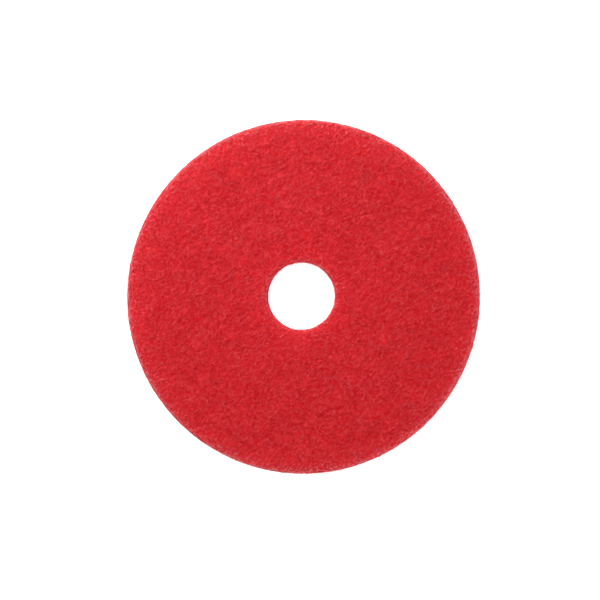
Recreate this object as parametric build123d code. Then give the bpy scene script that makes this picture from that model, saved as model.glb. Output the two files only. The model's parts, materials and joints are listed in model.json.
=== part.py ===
"""Buffing pad for a rotary floor machine: one disc of bonded non-woven fibre with a centre hole.

The pad is a single piece. It is die-cut from a thick, springy web, so its outer edge and the rim of
its hole roll off softly on both faces, and either face can be turned to the floor.

Frame: millimetres, +Z up along the spin axis, origin at the centre of the face that lies on the floor.
"""

from build123d import *
import os

INCH = 25.4

# Driving dimensions.
pad_diameter = 17 * INCH
hole_diameter = 3.25 * INCH
pad_thickness = 1 * INCH
rim_roll_width = 8.0  # how far the rolled edge reaches across each face
rim_roll_height = 4.5  # how far the rolled edge reaches down each cut wall

# Sizes that follow from them.
pad_radius = pad_diameter / 2
hole_radius = hole_diameter / 2
wall_bottom = rim_roll_height
wall_top = pad_thickness - rim_roll_height


def roll(corner_radius, corner_z, outward, upward):
    """One rolled corner of the cross-section: a quarter of an ellipse from the cut wall to the face.

    The corner is where the wall and the face would meet if they were square. outward is +1 on the
    outer edge and -1 at the hole, and upward is +1 on the top face and -1 on the bottom one.
    """
    centre = (corner_radius - outward * rim_roll_width, corner_z - upward * rim_roll_height)
    quarter_start = {(1, 1): 0, (-1, 1): 90, (-1, -1): 180, (1, -1): 270}[outward, upward]
    return EllipticalCenterArc(
        centre,
        x_radius=rim_roll_width,
        y_radius=rim_roll_height,
        start_angle=quarter_start,
        arc_size=90,
    )


def cross_section():
    """Half of the pad cut through its axis, as a face in the XZ plane between the hole and the edge."""
    face_inner = hole_radius + rim_roll_width
    face_outer = pad_radius - rim_roll_width
    with BuildSketch(Plane.XZ) as section:
        with BuildLine():
            Line((pad_radius, wall_bottom), (pad_radius, wall_top))
            roll(pad_radius, pad_thickness, 1, 1)
            Line((face_outer, pad_thickness), (face_inner, pad_thickness))
            roll(hole_radius, pad_thickness, -1, 1)
            Line((hole_radius, wall_top), (hole_radius, wall_bottom))
            roll(hole_radius, 0, -1, -1)
            Line((face_inner, 0), (face_outer, 0))
            roll(pad_radius, 0, 1, -1)
        make_face()
    return section.sketch


def buffing_pad():
    """The whole pad, turned about the spin axis."""
    return revolve(cross_section(), axis=Axis.Z)


os.makedirs("parts", exist_ok=True)
export_step(buffing_pad(), "parts/buffing_pad.step")
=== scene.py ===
"""A red buffing pad of bonded, crimped fibre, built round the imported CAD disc.

The plain CAD disc is hidden. A lumpy closed core stands for it, and thousands of thin closed tubes lie on
and in the core's skin as the web's fibres.

Lengths are in metres, +Z is the spin axis, and the floor is z = 0.
"""

import json
import math

import bpy
import numpy as np
from mathutils import Matrix, Vector


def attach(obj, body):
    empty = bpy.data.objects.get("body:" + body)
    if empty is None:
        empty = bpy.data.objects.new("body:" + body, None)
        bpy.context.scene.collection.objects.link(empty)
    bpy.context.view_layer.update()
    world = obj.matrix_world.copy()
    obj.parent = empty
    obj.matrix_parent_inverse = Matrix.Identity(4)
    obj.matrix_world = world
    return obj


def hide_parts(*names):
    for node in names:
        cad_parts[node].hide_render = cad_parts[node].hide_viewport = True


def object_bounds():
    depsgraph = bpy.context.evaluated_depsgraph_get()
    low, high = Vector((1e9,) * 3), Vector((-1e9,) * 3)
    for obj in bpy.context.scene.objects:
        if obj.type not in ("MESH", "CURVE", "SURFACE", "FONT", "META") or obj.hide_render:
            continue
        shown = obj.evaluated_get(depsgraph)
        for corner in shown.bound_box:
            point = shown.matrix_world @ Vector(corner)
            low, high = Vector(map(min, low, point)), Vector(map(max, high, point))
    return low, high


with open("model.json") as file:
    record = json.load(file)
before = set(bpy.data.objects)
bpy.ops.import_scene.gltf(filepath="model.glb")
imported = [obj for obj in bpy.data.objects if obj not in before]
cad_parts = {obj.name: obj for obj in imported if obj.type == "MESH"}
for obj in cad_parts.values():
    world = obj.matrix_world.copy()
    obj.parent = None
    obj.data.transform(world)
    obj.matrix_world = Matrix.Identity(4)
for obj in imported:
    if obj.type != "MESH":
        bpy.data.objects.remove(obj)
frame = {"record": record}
cad_low, cad_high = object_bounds()

MM = 0.001
SLOT = "red_fibre"

# The pad's sizes, from the frame.
bore = next(m for m in frame["record"]["mounts"] if m["name"] == "centre_hole")
pad_radius = cad_high.x
thickness = cad_high.z
mid_height = thickness / 2
hole_radius = bore["dims"]["r_mm"] * MM
wall_end = (thickness - bore["dims"]["length_mm"] * MM) / 2  # from a face to where the cut wall is straight

# How the springy web softens the CAD's shape. A pair is how much, and how far from the cut wall it reaches.
roll_width = 4 * MM
roll_height = 3 * MM
outer_shoulder = (3.2 * MM, 14 * MM)  # the web thins towards the outer edge
hole_shoulder = (2.8 * MM, 10 * MM)
mean_dip = 0.21 * MM  # how far, on average, the uneven skin lies below its nominal place
cloud_dip = 0.08 * MM  # spread of the dips of its broad thick and thin places
clump_dip = 0.09 * MM  # spread of the dips between its knots of fibre
wall_dip_share = 0.15  # a cut wall is flatter than a face
core_dip_share = 1.4  # the core is lumpier than the skin
core_inset = 1.5 * MM  # from the skin down to the core
core_turns, core_stations = 560, 170  # points round the spin axis, and round the cross-section

# The fibres. A pair is the least and the most.
fibre_radius = 0.14 * MM
fibre_radius_share = (0.78, 1.25)
swell_spread = 0.12  # resin gathers unevenly along a fibre
swell_limits = (0.75, 1.4)
tip_share = 0.7  # of the radius, at a fibre's two ends
fibre_rings = 9  # points along one fibre
fibre_sides = 3
lowest_middle = fibre_radius * 1.5  # the least height of a fibre's middle line above the floor
bend_radius = 15 * MM  # of the overall curve of a typical fibre, under its crimp
crimp_swing = (0.4, 1.0)  # radians to either side
crimp_length = (5 * MM, 10 * MM)
stray_turn = 0.15  # radians, spread of the stray turn at each point
shortest_remnant = 2  # steps; what is left of a cut fibre is dropped if it is shorter

# How deep the fibres lie.
web_depth = 1.2 * MM  # how deep below the skin fibres still show
weave_height = 0.42 * MM
weave_turns = (2.0, 4.0)
dive_share = 0.2  # the share of a fibre's length, at each end, over which it dives into the core
dive_below = 0.6 * MM  # how far below web_depth its end is
loose_share = 0.02  # the share of the fibres that arch clear of the skin
loose_height = (0.2 * MM, 1.0 * MM)

# The faces' fibres.
face_fibre_count = 23400  # on each face
sector_count = 6  # pieces that each face's fibres are divided into
face_fibre_length = (8 * MM, 20 * MM)
face_edge_gap = (0.4 * MM, 2.5 * MM)  # how near a cut wall they run
web_direction = math.radians(45)  # from +X: the way the web was laid, which more of the fibres follow
web_bias = 0.15  # how strongly their headings crowd towards it; 0 is not at all

# The cut walls' fibres.
outer_wall_fibre_count = 9600
quarter_count = 4  # pieces that the outer wall's fibres are divided into
hole_wall_fibre_count = 1800
wall_fibre_length = (9 * MM, 22 * MM)
wall_fibre_slope = 0.33  # radians, spread from level
wall_crowding = 2.0  # how strongly they crowd towards the skin; 1 is not at all
wall_overlap = 3 * MM  # how far past a rolled edge they still start

# The cut ends that stud the walls.
cut_end_spacing = 2.0 * MM
cut_end_length = (2.5 * MM, 4 * MM)
cut_end_radius_share = (0.8, 1.25)
cut_end_rings = 3
cut_end_lean = 0.45  # spread of the lean from square to the wall
cut_end_bow = 0.25 * MM
cut_end_proud = 0.8 * MM  # how far, on average, a cut end stands out from the deepest ones
cut_end_sunk = 0.6 * MM  # how far the deepest ones lie below the skin
cut_end_most_proud = 2.4 * MM

# How the colour varies. A shade runs from 0, dark, to shade_span, pale.
shade_span = 1.6
top_shade = 0.75  # of a fibre that lies on top
shade_spread = 0.08  # from fibre to fibre
deep_painted_shade = 0.7  # at web_depth; painted shade, darker the deeper a fibre lies
deepest_share = 1.3  # of web_depth: deeper fibres get no more painted shade
outer_edge_painted_light = ((0.6, 10 * MM), (0.75, 5 * MM))  # painted light: how much paler the rolled edge is, and how far from the wall it reaches
# painted light on the hole's rolled edge, as above
hole_edge_painted_light = (0.75, 4 * MM)
plain_wall_share = 0.3  # of the half-thickness, up and down from mid-height: the wall gets no painted light here
pale_edge_share = 0.75  # of the half-thickness: the edge has all its painted light from here on
cut_end_shade = 0.5
cut_end_shade_spread = 0.15
# painted light: how much paler a cut end is near a face
cut_end_edge_painted_light = 0.5
cut_end_shade_run = (-0.4, 0, 0.2)  # from the root to the tip
core_shade = 0.5
core_painted_shade_dip = 2.4 * MM  # painted shade: a dip this deep would take 1 off its shade

# Painted light and shade at the edges, scaled into the colour: how much, and how far from the wall it
# reaches.
outer_painted_light = (0.26, 9 * MM)
hole_painted_light = (0.28, 10 * MM)
# painted shade on the very brink of each edge
brink_painted_shade = (0.2, 2 * MM)

# The materials' patterns. Scales are noise cells per metre.
patch_scale = 310.0
patch_weight = 3.1  # how strongly patches of a few millimetres change the shade: partly random tone, partly painted shade in the web's pits
patch_stretch = (1.2, 0.85, 1)  # patches are longer along the web's direction than across it
grain_scale = 2600.0
thread_scale = 300.0
thread_layers = 3
thread_step = 0.08  # half the rise in the noise's value from one thread to the next
thread_half_width = 0.020  # in the noise's value


# ---------------------------------------------------------------- the pad's skin

def fade(pair, distance):
    """A strength at a cut wall that dies away over its reach; the pair is strength and reach."""
    strength, reach = pair
    return strength * np.exp(-np.maximum(distance, 0) / reach)


def gap_at(radius):
    """Distance from a radius on a face to the nearer cut wall."""
    return np.maximum(np.minimum(pad_radius - radius, radius - hole_radius), 0)


def half_height(radius):
    """Height of the skin above mid-plane at this radius: flat, but thinner and rolled off at each wall."""
    across = np.clip(1 - gap_at(radius) / roll_width, 0, 1)
    roll = roll_height * (1 - np.sqrt(1 - across**2))
    outer = fade(outer_shoulder, pad_radius - radius)
    inner = fade(hole_shoulder, radius - hole_radius)
    return mid_height - roll - outer - inner


def closed_section():
    """The pad's cross-section as a closed loop of radii and heights, with its length along the loop.

    It starts at mid-height on the hole's wall, goes over the upper face to the outer wall and back below.
    """
    roll_points, flat_points, wall_points = 60, 800, 30
    rolled = roll_width * (1 - np.cos(np.linspace(0, math.pi / 2, roll_points)))
    flat = np.linspace(hole_radius + roll_width, pad_radius - roll_width, flat_points)
    across = np.concatenate([hole_radius + rolled[:-1], flat, pad_radius - rolled[::-1][1:]])
    rise, fall = (np.linspace(0, half_height(wall), wall_points)[:-1] for wall in (hole_radius, pad_radius))
    radius = np.concatenate([np.full(len(rise), hole_radius), across, np.full(len(fall), pad_radius)])
    height = np.concatenate([rise, half_height(across), fall[::-1]])
    radius = np.concatenate([radius, radius[::-1][1:]])
    height = np.concatenate([mid_height + height, mid_height - height[::-1][1:]])
    along = np.concatenate([[0], np.cumsum(np.hypot(np.diff(radius), np.diff(height)))])
    return along, radius, height


SECTION = closed_section()
loop_length = SECTION[0][-1]
hole_mid, outer_mid = 0.0, loop_length / 2  # where along the loop each cut wall's middle is


def on_section(along):
    """Radius, height and outward normal of the skin at these places along the closed section."""
    along = along % loop_length
    radius = np.interp(along, SECTION[0], SECTION[1])
    height = np.interp(along, SECTION[0], SECTION[2])
    step = 0.2 * MM
    ahead, behind = (along + step) % loop_length, (along - step) % loop_length
    run = np.interp(ahead, SECTION[0], SECTION[1]) - np.interp(behind, SECTION[0], SECTION[1])
    rise = np.interp(ahead, SECTION[0], SECTION[2]) - np.interp(behind, SECTION[0], SECTION[2])
    size = np.hypot(run, rise)
    return radius, height, -rise / size, run / size


def waves(seed, shortest, longest, count):
    """A smooth random field: the wave number in each direction, and the phase, of each wave in it."""
    rng = np.random.default_rng(seed)
    length = np.exp(rng.uniform(math.log(shortest), math.log(longest), count))
    direction = rng.normal(size=(count, 3))
    direction /= np.linalg.norm(direction, axis=1)[:, None]
    return direction * (2 * math.pi / length)[:, None], rng.uniform(0, 2 * math.pi, count)


def ripple(field, points):
    """The field's value at each point, with a spread of about one."""
    numbers, phases = field
    total = np.zeros(points.shape[:-1])
    for number, phase in zip(numbers, phases):
        total += np.cos(points @ number + phase)
    return total * math.sqrt(2 / len(phases))


CLOUDS = waves(seed=11, shortest=18 * MM, longest=70 * MM, count=24)  # broad thick and thin places
CLUMPS = waves(seed=12, shortest=2.8 * MM, longest=6 * MM, count=40)  # knots of fibre


def sink(points, share=1.0):
    """How far the skin dips below its nominal place at each point; never less than nothing."""
    dip = mean_dip + cloud_dip * ripple(CLOUDS, points) + clump_dip * ripple(CLUMPS, points)
    return np.maximum(dip, 0) * share


# ---------------------------------------------------------------- painted light and shade, and tone

def painted_edge_light_and_shade_at(radius):
    """Painted light and shade at this radius: painted light where thin cut edges let light through, and
    painted shade on their brink.
    """
    outer = fade(outer_painted_light, pad_radius - radius)
    inner = fade(hole_painted_light, radius - hole_radius)
    return 1 + outer + inner - fade(brink_painted_shade, gap_at(radius))


def near_face(height):
    """1 on a face and its rolled edge, falling to 0 part of the way down a cut wall: where the edges'
    painted light goes.
    """
    share = np.abs(height - mid_height) / mid_height
    return np.clip((share - plain_wall_share) / (pale_edge_share - plain_wall_share), 0, 1)


def shades_of(rng, depth, radius, height):
    """Shade of each point of each fibre: a random tone of its own, painted shade the deeper it lies, and
    painted light along the rolled edges.
    """
    own = rng.normal(0, shade_spread, len(depth))[:, None]
    deep = np.clip(depth / web_depth, 0, deepest_share)
    # painted light along the rolled edges
    edge = sum(fade(shade, pad_radius - radius) for shade in outer_edge_painted_light)
    edge += fade(hole_edge_painted_light, radius - hole_radius)
    return np.maximum(top_shade + own - deep_painted_shade * deep + edge * near_face(height), 0)


# ---------------------------------------------------------------- mesh helpers

def make_mesh(name, points, corners, sizes, shades, uvs=None):
    """A smooth-shaded mesh object from arrays: face corners in order and each face's corner count."""
    mesh = bpy.data.meshes.new(name)
    mesh.vertices.add(len(points))
    mesh.vertices.foreach_set("co", points.astype(np.float32).ravel())
    mesh.loops.add(len(corners))
    mesh.loops.foreach_set("vertex_index", corners.astype(np.int32))
    mesh.polygons.add(len(sizes))
    starts = np.concatenate([[0], np.cumsum(sizes)[:-1]])
    mesh.polygons.foreach_set("loop_start", starts.astype(np.int32))
    mesh.update(calc_edges=True)
    mesh.polygons.foreach_set("use_smooth", np.ones(len(sizes), bool))
    # Painted light and shade of the edges, which the material multiplies into the colour.
    painted_edge_light_and_shade = painted_edge_light_and_shade_at(np.hypot(points[:, 0], points[:, 1]))
    for look, values in (("shade", shades), ("painted_edge_light_and_shade", painted_edge_light_and_shade)):
        mesh.attributes.new(look, "FLOAT", "POINT").data.foreach_set("value", values.astype(np.float32))
    if uvs is not None:
        mesh.uv_layers.new(name="OFBake").data.foreach_set("uv", uvs.astype(np.float32).ravel())
    mesh.validate()
    piece = bpy.data.objects.new(name, mesh)
    bpy.context.scene.collection.objects.link(piece)
    return piece


def unit(vectors):
    """The vectors at length 1; one with no length stays as it is."""
    tiny = 1e-12
    return vectors / np.maximum(np.linalg.norm(vectors, axis=-1, keepdims=True), tiny)


def tube_points(paths, radii, twist):
    """Rings of points round each path: an array of fibres x rings x sides x 3."""
    along = unit(np.gradient(paths, axis=1))
    general = np.abs(unit(paths[:, -1] - paths[:, 0]))
    reference = np.eye(3)[np.argmin(general, axis=1)][:, None, :]
    across = unit(np.cross(along, np.broadcast_to(reference, along.shape)))
    upright = np.cross(across, along)
    turn = twist[:, None] + np.arange(fibre_sides) * 2 * math.pi / fibre_sides
    spoke = (
        across[:, :, None, :] * np.cos(turn)[:, None, :, None]
        + upright[:, :, None, :] * np.sin(turn)[:, None, :, None]
    )
    return paths[:, :, None, :] + spoke * radii[:, :, None, None]


def tube_faces(rings):
    """Corner numbers of one tube with its two end caps, and each face's corner count."""
    ring, side = np.meshgrid(np.arange(rings - 1), np.arange(fibre_sides), indexing="ij")
    ring, side = ring.ravel(), side.ravel()
    after = (side + 1) % fibre_sides
    quads = np.stack(
        [
            ring * fibre_sides + side,
            ring * fibre_sides + after,
            (ring + 1) * fibre_sides + after,
            (ring + 1) * fibre_sides + side,
        ],
        axis=1,
    )
    start_cap = np.arange(fibre_sides)[::-1]
    end_cap = (rings - 1) * fibre_sides + np.arange(fibre_sides)
    corners = np.concatenate([quads.ravel(), start_cap, end_cap])
    return corners, np.concatenate([np.full(len(quads), 4), [fibre_sides, fibre_sides]])


def tube_uvs(count, rings):
    """Bake coordinates: each fibre has a square cell of its own, its length across and its girth up."""
    cells = math.ceil(math.sqrt(count))
    margin = 0.12
    ring, side = np.meshgrid(np.arange(rings - 1), np.arange(fibre_sides), indexing="ij")
    ring, side = ring.ravel(), side.ravel()
    u = np.stack([ring, ring, ring + 1, ring + 1], axis=1) / (rings - 1)
    v = np.stack([side, side + 1, side + 1, side], axis=1) / fibre_sides
    cap = np.linspace(0, 1, fibre_sides)
    u = np.concatenate([u.ravel(), np.zeros(fibre_sides), np.ones(fibre_sides)])
    v = np.concatenate([v.ravel(), cap, cap])
    cell = np.stack([u, v], axis=1) * (1 - 2 * margin) + margin
    place = np.stack([np.arange(count) % cells, np.arange(count) // cells], axis=1)
    return (place[:, None, :] + cell[None, :, :]) / cells


def fibre_piece(name, paths, radii, shades, rng):
    """One mesh of closed tubes, one round each path."""
    count, rings = paths.shape[:2]
    points = tube_points(paths, radii, rng.uniform(0, 2 * math.pi, count))
    corners, sizes = tube_faces(rings)
    corners = corners[None, :] + (np.arange(count) * rings * fibre_sides)[:, None]
    piece = make_mesh(
        name,
        points.reshape(-1, 3),
        corners.ravel(),
        np.tile(sizes, count),
        np.repeat(shades.ravel(), fibre_sides),
        tube_uvs(count, rings).reshape(-1, 2),
    )
    piece.data.materials.append(bpy.data.materials[SLOT + "_strand"])
    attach(piece, "root")
    return piece


# ---------------------------------------------------------------- the fibres

def crimped_run(rng, count, length, heading):
    """Flat paths of crimped fibres that start at the origin: fibres x rings x 2."""
    step = length / (fibre_rings - 1)
    travelled = (np.arange(fibre_rings - 1) + 0.5)[None, :] * step[:, None]
    bend = rng.normal(0, 1 / bend_radius, count)[:, None] * travelled
    swing = rng.uniform(*crimp_swing, count)[:, None]
    wavelength = rng.uniform(*crimp_length, count)[:, None]
    phase = rng.uniform(0, 2 * math.pi, count)[:, None]
    crimp = swing * np.sin(2 * math.pi * travelled / wavelength + phase)
    stray = np.cumsum(rng.normal(0, stray_turn, (count, fibre_rings - 1)), axis=1)
    angle = heading[:, None] + bend + crimp + stray
    legs = np.stack([np.cos(angle), np.sin(angle)], axis=2) * step[:, None, None]
    return np.concatenate([np.zeros((count, 1, 2)), np.cumsum(legs, axis=1)], axis=1)


def cut_short(paths, inside):
    """Each path as far as its last point before it leaves, spread over the same number of points again.

    Also which of the paths are still whole. Paths cut too short to keep are left out.
    """
    rings = paths.shape[1]
    last = np.where(inside.all(axis=1), rings - 1, np.argmin(inside, axis=1) - 1)
    kept = last >= shortest_remnant
    paths, last = paths[kept], last[kept]
    wanted = last[:, None] * np.linspace(0, 1, rings)[None, :]
    below = np.minimum(wanted.astype(int), rings - 2)
    share = (wanted - below)[:, :, None]
    here = np.take_along_axis(paths, below[:, :, None], axis=1)
    there = np.take_along_axis(paths, below[:, :, None] + 1, axis=1)
    return here * (1 - share) + there * share, last == rings - 1


def depths(rng, count, whole, crowding=1.0):
    """How deep each point of each fibre lies: a level of its own, a weave, and ends that dive in.

    A fibre that isn't whole was cut at its far end, which stays up. A crowding over 1 packs more of the
    fibres near the skin.
    """
    level = rng.uniform(0, 1, count)[:, None] ** crowding * web_depth
    along = np.linspace(0, 1, fibre_rings)[None, :]
    turns = along * rng.uniform(*weave_turns, count)[:, None] + rng.random(count)[:, None]
    weave = weave_height * np.sin(2 * math.pi * turns)
    start_dive = np.clip(1 - along / dive_share, 0, 1) ** 2
    end_dive = np.clip(1 - (1 - along) / dive_share, 0, 1) ** 2 * whole[:, None]
    dive = (web_depth + dive_below - level) * np.maximum(start_dive, end_dive)
    loose = (rng.random(count) < loose_share)[:, None]
    arch = np.sin(math.pi * along) * rng.uniform(*loose_height, count)[:, None]
    return np.maximum(level + weave, 0) * ~loose + dive - arch * loose


def thickness_along(rng, count):
    """Radius of each fibre at each ring: fibres differ, and each swells a little where resin gathers."""
    own = fibre_radius * rng.uniform(*fibre_radius_share, count)[:, None]
    swell = 1 + swell_spread * rng.normal(size=(count, fibre_rings))
    radii = own * np.clip(swell, *swell_limits)
    radii[:, [0, -1]] *= tip_share
    return radii


def face_fibres(name, seed, upward, sector):
    """The fibres that start in one sector of one face."""
    rng = np.random.default_rng(seed)
    count = face_fibre_count // sector_count
    radius = np.sqrt(rng.uniform(hole_radius**2, pad_radius**2, count))
    angle = (sector + rng.random(count)) * 2 * math.pi / sector_count
    start = np.stack([radius * np.cos(angle), radius * np.sin(angle)], axis=1)
    heading = rng.uniform(0, 2 * math.pi, count)
    heading -= web_bias * np.sin(2 * (heading - web_direction))
    flat = start[:, None, :] + crimped_run(rng, count, rng.uniform(*face_fibre_length, count), heading)
    edge_gap = rng.uniform(*face_edge_gap, count)[:, None]
    out = np.linalg.norm(flat, axis=2)
    inside = (out < pad_radius - edge_gap) & (out > hole_radius + edge_gap)
    flat, whole = cut_short(flat, inside)
    count = len(flat)
    radius = np.linalg.norm(flat, axis=2)
    depth = depths(rng, count, whole)
    skin = half_height(radius)
    place = np.concatenate([flat, (mid_height + upward * skin)[:, :, None]], axis=2)
    height = mid_height + upward * (skin - sink(place) - depth - fibre_radius)
    height = np.maximum(height, lowest_middle)
    paths = np.concatenate([flat, height[:, :, None]], axis=2)
    return fibre_piece(name, paths, thickness_along(rng, count), shades_of(rng, depth, radius, height), rng)


def round_axis(radius, turn, height):
    """Points at these radii, angles from +X and heights."""
    return np.stack([radius * np.cos(turn), radius * np.sin(turn), height], axis=-1)


def wall_fibres(name, seed, count, middle, wall_radius, first_turn, last_turn):
    """Fibres that lie along a cut wall and its two rolled edges, mostly level, as the web was laid."""
    rng = np.random.default_rng(seed)
    half_reach = half_height(wall_radius) + roll_width + wall_overlap
    heading = rng.normal(0, wall_fibre_slope, count) + math.pi * rng.integers(0, 2, count)
    run = crimped_run(rng, count, rng.uniform(*wall_fibre_length, count), heading)
    turn = rng.uniform(first_turn, last_turn, count)[:, None] + run[:, :, 0] / wall_radius
    level = rng.uniform(-half_reach, half_reach, count)[:, None] + run[:, :, 1]
    radius, height, out, up = on_section(middle + level)
    depth = depths(rng, count, np.ones(count, bool), wall_crowding)
    inward = sink(round_axis(radius, turn, height), wall_dip_share) + depth + fibre_radius
    radius, height = radius - out * inward, height - up * inward
    height = np.maximum(height, lowest_middle)
    paths = round_axis(radius, turn, height)
    shades = shades_of(rng, depth, radius, height)
    return fibre_piece(name, paths, thickness_along(rng, count), shades, rng)


def cut_ends(name, seed, middle, wall_radius):
    """Short stubs that stud a wall, where the die cut through fibres that ran into it."""
    rng = np.random.default_rng(seed)
    half_reach = half_height(wall_radius) + roll_width / 2
    count = int(2 * math.pi * wall_radius * 2 * half_reach / cut_end_spacing**2)
    turn = rng.uniform(0, 2 * math.pi, count)
    radius, height, out, up = on_section(middle + rng.uniform(-half_reach, half_reach, count))
    outward = round_axis(out, turn, up)
    skin = round_axis(radius, turn, height)
    proud = np.minimum(rng.exponential(cut_end_proud, count) - cut_end_sunk, cut_end_most_proud)
    tip = skin + outward * (proud - sink(skin, wall_dip_share))[:, None]
    lean = unit(outward + rng.normal(0, cut_end_lean, (count, 3)))
    length = rng.uniform(*cut_end_length, count)
    back = np.linspace(1, 0, cut_end_rings)[None, :, None] * length[:, None, None]
    bow = np.array([0, cut_end_bow, 0])[None, :, None] * rng.normal(size=(count, 1, 3))
    paths = tip[:, None, :] - lean[:, None, :] * back + bow
    paths[:, :, 2] = np.maximum(paths[:, :, 2], lowest_middle)
    radii = np.tile(fibre_radius * rng.uniform(*cut_end_radius_share, count)[:, None], (1, cut_end_rings))
    shade = rng.normal(cut_end_shade, cut_end_shade_spread, count)
    # painted light near a face, as on the rolled edges
    shade += cut_end_edge_painted_light * near_face(tip[:, 2])
    return fibre_piece(name, paths, radii, shade[:, None] + np.array(cut_end_shade_run), rng)


def core():
    """The closed inner web that the fibres lie on: the pad's section, inset, turned about Z, made lumpy."""
    turns, stations = core_turns, core_stations
    radius, height, out, up = on_section(np.arange(stations) * loop_length / stations)
    radius, height = radius - out * core_inset, height - up * core_inset
    turn = (np.arange(turns) * 2 * math.pi / turns)[:, None]
    points = round_axis(radius, turn, np.broadcast_to(height, (turns, stations)))
    outward = round_axis(out, turn, np.broadcast_to(up, (turns, stations)))
    dip = sink(points, core_dip_share)
    points = points - outward * dip[:, :, None]
    i, j = np.meshgrid(np.arange(turns), np.arange(stations), indexing="ij")
    i, j = i.ravel(), j.ravel()
    i_after, j_after = (i + 1) % turns, (j + 1) % stations
    corners = np.stack(
        [
            i * stations + j,
            i_after * stations + j,
            i_after * stations + j_after,
            i * stations + j_after,
        ],
        axis=1,
    )
    sizes = np.full(len(corners), 4)
    # painted shade, darker in the core's dips
    shade = np.clip(core_shade - dip / core_painted_shade_dip, 0, 1)
    piece = make_mesh("pad_core", points.reshape(-1, 3), corners.ravel(), sizes, shade.ravel())
    piece.data.materials.append(bpy.data.materials[SLOT + "_core"])
    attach(piece, "root")
    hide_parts("buffing_pad")
    return piece


# ---------------------------------------------------------------- materials

def new_material(name):
    """A node material, its node tree, its Principled shader, and a helper that adds linked nodes."""
    material = bpy.data.materials.new(name)
    material.use_nodes = True
    tree = material.node_tree
    shader = next(n for n in tree.nodes if n.type == "BSDF_PRINCIPLED")

    def add(kind, inputs=(), **settings):
        node = tree.nodes.new(kind)
        for key, value in settings.items():
            setattr(node, key, value)
        for key, value in dict(inputs).items():
            if isinstance(value, bpy.types.NodeSocket):
                tree.links.new(value, node.inputs[key])
            else:
                node.inputs[key].default_value = value
        return node

    return material, tree, shader, add


def maths(add, operation, *values):
    """A maths node on numbers or sockets."""
    return add("ShaderNodeMath", dict(enumerate(values)), operation=operation).outputs[0]


def noise(add, place, scale, detail):
    """Smooth noise, about 0 to 1 and 0.5 on average."""
    return add("ShaderNodeTexNoise", {"Vector": place, "Scale": scale, "Detail": detail}).outputs["Fac"]


def ramp(add, factor, stops):
    """A colour ramp over the given (place, colour) stops."""
    node = add("ShaderNodeValToRGB", {"Fac": factor})
    elements = node.color_ramp.elements
    while len(elements) < len(stops):
        elements.new(0.5)
    for element, (place, colour) in zip(elements, stops):
        element.position = place
        element.color = (*colour, 1)
    return node.outputs["Color"]


def grain(add, place):
    """Fine grain along the strands."""
    return noise(add, place, grain_scale, 2.0)


def threads(add, place):
    """Fine lines that curve and cross, from the contours of smooth noise: 1 on a line, 0 off it."""
    lines = 0.0
    for layer in range(thread_layers):
        shift = (layer, layer, layer)
        moved = add("ShaderNodeVectorMath", {0: place, 1: shift}, operation="ADD").outputs[0]
        off = maths(add, "PINGPONG", noise(add, moved, thread_scale, 0.0), thread_step)
        span = {"Value": off, "From Max": thread_half_width, "To Min": 1.0, "To Max": 0.0}
        line = add("ShaderNodeMapRange", span).outputs["Result"]
        lines = maths(add, "MAXIMUM", line, lines)
    return lines


def red_material(name, stops, detail, detail_weight, bump_depth, rough):
    """Resin-coated red fibre: its colour follows the shade attribute, broken up by patches and detail, and
    scaled by the edges' painted light and shade.
    """
    _, tree, shader, add = new_material(name)
    place = add(
        "ShaderNodeMapping",
        {
            "Vector": add("ShaderNodeTexCoord").outputs["Object"],
            "Rotation": (0, 0, web_direction),
            "Scale": patch_stretch,
        },
        vector_type="TEXTURE",
    ).outputs["Vector"]
    shade = add("ShaderNodeAttribute", attribute_name="shade").outputs["Fac"]
    fine = detail(add, place)
    broken = maths(add, "MULTIPLY_ADD", noise(add, place, patch_scale, 2.0), patch_weight, shade)
    broken = maths(add, "MULTIPLY_ADD", fine, detail_weight, broken)
    middle = (patch_weight + detail_weight) / 2
    factor = maths(add, "MULTIPLY_ADD", broken, 1 / shade_span, -middle / shade_span)
    # The colour is scaled by the painted light and shade of the edges.
    painted_edge_light_and_shade = add("ShaderNodeAttribute", attribute_name="painted_edge_light_and_shade").outputs["Fac"]
    coloured = add("ShaderNodeVectorMath", {0: ramp(add, factor, stops), "Scale": painted_edge_light_and_shade}, operation="SCALE")
    tree.links.new(coloured.outputs[0], shader.inputs["Base Color"])
    roughness = add("ShaderNodeMapRange", {"Value": fine, "To Min": rough - 0.1, "To Max": rough + 0.15})
    tree.links.new(roughness.outputs["Result"], shader.inputs["Roughness"])
    bump = add("ShaderNodeBump", {"Height": fine, "Strength": 0.6, "Distance": bump_depth})
    tree.links.new(bump.outputs["Normal"], shader.inputs["Normal"])
    shader.inputs["Specular IOR Level"].default_value = 0.10
    shader.inputs["Sheen Weight"].default_value = 0.02
    shader.inputs["Sheen Roughness"].default_value = 0.4
    shader.inputs["Sheen Tint"].default_value = (1, 0.75, 0.75, 1)


def core_material():
    """The inner web: darker, a painted shade for the deep web between fibres, and drawn over with threads
    because it stands for fibres too.
    """
    dark, pale = (0.385, 0.003, 0.007), (0.50, 0.031, 0.039)
    stops = [(0.0, dark), (0.8, pale)]
    red_material(SLOT + "_core", stops, threads, detail_weight=1.0, bump_depth=0.15 * MM, rough=0.65)


def strand_material():
    """The fibres: dull red where they lie deep, a painted shade; red on top, pinker as a painted highlight;
    and pink on the rolled edges, painted light.
    """
    deep, middling, top, edge = (
        (0.56, 0.001, 0.007),
        (0.61, 0.032, 0.043),
        (0.645, 0.055, 0.066),
        (0.63, 0.145, 0.157),
    )
    stops = [(0.0, deep), (0.45, middling), (0.75, top), (1.0, edge)]
    red_material(SLOT + "_strand", stops, grain, detail_weight=0.4, bump_depth=0.04 * MM, rough=0.5)


# ---------------------------------------------------------------- the studio

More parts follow.
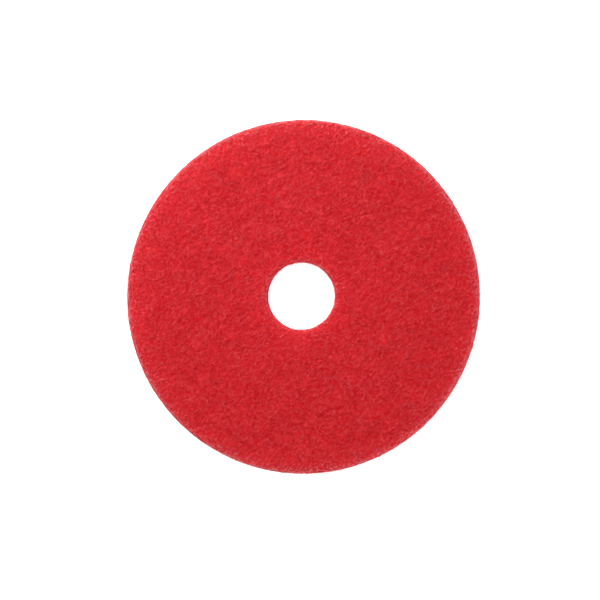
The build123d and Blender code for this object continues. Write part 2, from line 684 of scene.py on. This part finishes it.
def camera():
    """Almost straight above the pad, a little towards its lower right, with +Y up in the picture."""
    distance = 1.2
    tilt = math.radians(5.25)
    lean = Vector((0.942, -0.335, 0)).normalized()
    pad_share_of_width = 0.5917
    skin = Vector((0, 0, thickness - wall_end))
    place = skin + lean * distance * math.sin(tilt) + Vector((0, 0, distance * math.cos(tilt)))
    aim = skin + Vector((-0.0016, -0.0115, 0)) * 2 * pad_radius
    back = (place - aim).normalized()
    right = Vector((0, 1, 0)).cross(back).normalized()
    up = back.cross(right)
    data = bpy.data.cameras.new("camera")
    data.lens = data.sensor_width * distance * pad_share_of_width / (2 * pad_radius)
    eye = bpy.data.objects.new("camera", data)
    eye.matrix_world = Matrix.Translation(place) @ Matrix((right, up, back)).transposed().to_4x4()
    bpy.context.scene.collection.objects.link(eye)
    bpy.context.scene.camera = eye


def area_light(name, azimuth, elevation, distance, size, power):
    """A square soft box that faces the pad; azimuth is measured from +X towards +Y."""
    data = bpy.data.lights.new(name, "AREA")
    data.size = size
    data.energy = power
    turn, rise = math.radians(azimuth), math.radians(elevation)
    away = Vector((math.cos(turn) * math.cos(rise), math.sin(turn) * math.cos(rise), math.sin(rise)))
    lamp = bpy.data.objects.new(name, data)
    lamp.location = away * distance
    lamp.rotation_mode = "QUATERNION"
    lamp.rotation_quaternion = away.to_track_quat("Z", "Y")
    bpy.context.scene.collection.objects.link(lamp)


def floor():
    """A plain white sheet, lit from behind a little as a light table is, so that it stays pale in shade."""
    half = 4.0
    corners = [(-half, -half, 0), (half, -half, 0), (half, half, 0), (-half, half, 0)]
    mesh = bpy.data.meshes.new("floor")
    mesh.from_pydata(corners, [], [(0, 1, 2, 3)])
    sheet = bpy.data.objects.new("floor", mesh)
    bpy.context.scene.collection.objects.link(sheet)
    material, _, shader, _ = new_material("floor_white")
    shader.inputs["Base Color"].default_value = (0.9, 0.9, 0.9, 1)
    shader.inputs["Roughness"].default_value = 0.9
    shader.inputs["Specular IOR Level"].default_value = 0.0
    shader.inputs["Emission Color"].default_value = (1, 1, 1, 1)
    shader.inputs["Emission Strength"].default_value = 0.65
    mesh.materials.append(material)


def surroundings():
    """Even white light from all round."""
    scene = bpy.context.scene
    scene.view_settings.view_transform = "Standard"
    world = bpy.data.worlds.new("surroundings")
    world.use_nodes = True
    background = world.node_tree.nodes["Background"]
    background.inputs["Color"].default_value = (1, 1, 1, 1)
    background.inputs["Strength"].default_value = 1.0
    scene.world = world


def lights():
    """A large soft key light from the upper left, and two low ones that catch opposite sides of the rim."""
    area_light("key", azimuth=116, elevation=59, distance=1.5, size=0.75, power=15.8)
    area_light("low_left", azimuth=121, elevation=12, distance=1.5, size=0.5, power=38)
    area_light("low_right", azimuth=-45, elevation=12, distance=1.9, size=0.6, power=15)


# ---------------------------------------------------------------- assembly

camera()
surroundings()
lights()
floor()
core_material()
strand_material()
core()
for face, upward in (("upper", 1), ("lower", -1)):
    for sector in range(sector_count):
        seed = 100 * (upward + 2) + sector
        face_fibres(f"{face}_fibres_{sector + 1}", seed, upward, sector)
for quarter in range(quarter_count):
    name, count = f"outer_wall_fibres_{quarter + 1}", outer_wall_fibre_count // quarter_count
    first_turn, last_turn = (2 * math.pi * edge / quarter_count for edge in (quarter, quarter + 1))
    wall_fibres(name, 500 + quarter, count, outer_mid, pad_radius, first_turn, last_turn)
wall_fibres("hole_wall_fibres", 510, hole_wall_fibre_count, hole_mid, hole_radius, 0, 2 * math.pi)
cut_ends("outer_wall_cut_ends", 520, outer_mid, pad_radius)
cut_ends("hole_wall_cut_ends", 530, hole_mid, hole_radius)
